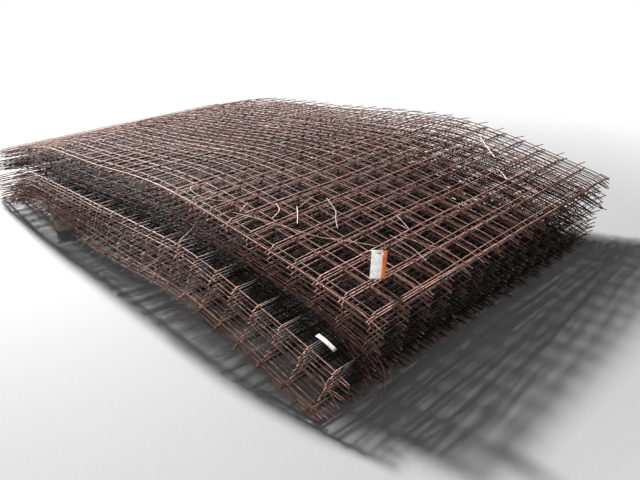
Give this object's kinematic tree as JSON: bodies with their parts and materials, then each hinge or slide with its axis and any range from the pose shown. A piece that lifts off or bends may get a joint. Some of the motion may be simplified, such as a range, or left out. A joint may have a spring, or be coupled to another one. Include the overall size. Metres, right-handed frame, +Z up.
{
  "type": "stack of welded wire mesh",
  "caption": "Stack of flat rusty welded wire mesh sheets, bundled and laid on timber dunnage, with drooping ends, tie wires, loose wires and blank tags",
  "frame": {"origin": "centre of the stack's footprint on the ground", "axes": "+X runs along the sheets toward the end that droops to the ground, +Y runs across the sheets away from the side where the lower bundle sticks out, +Z is up"},
  "size_m": [4.5138, 2.7194, 0.6902],
  "materials": {
    "timber": "weathered, rough",
    "rusty_wire": "rusted, rough",
    "tie_wire": "lightly rusted",
    "tag": "matte, blank"
  },
  "bodies": {
    "root": {"low_side_bottom_timber": "timber", "low_side_top_timber": "timber", "high_side_bottom_timber": "timber", "high_side_top_timber": "timber", "foot_sheets": "rusty_wire", "lower_bundle_sheets": "rusty_wire", "upper_bundle_sheets": "rusty_wire", "top_sheet_high_end": "rusty_wire", "top_sheet_middle": "rusty_wire", "top_sheet_low_bend": "rusty_wire", "top_sheet_low_end": "rusty_wire", "tie_wires": "tie_wire", "loose_wires": "tie_wire", "hanging_tag": "tag", "tag_wire": "tie_wire", "strip_tag": "tag"}
  },
  "joints": []
}
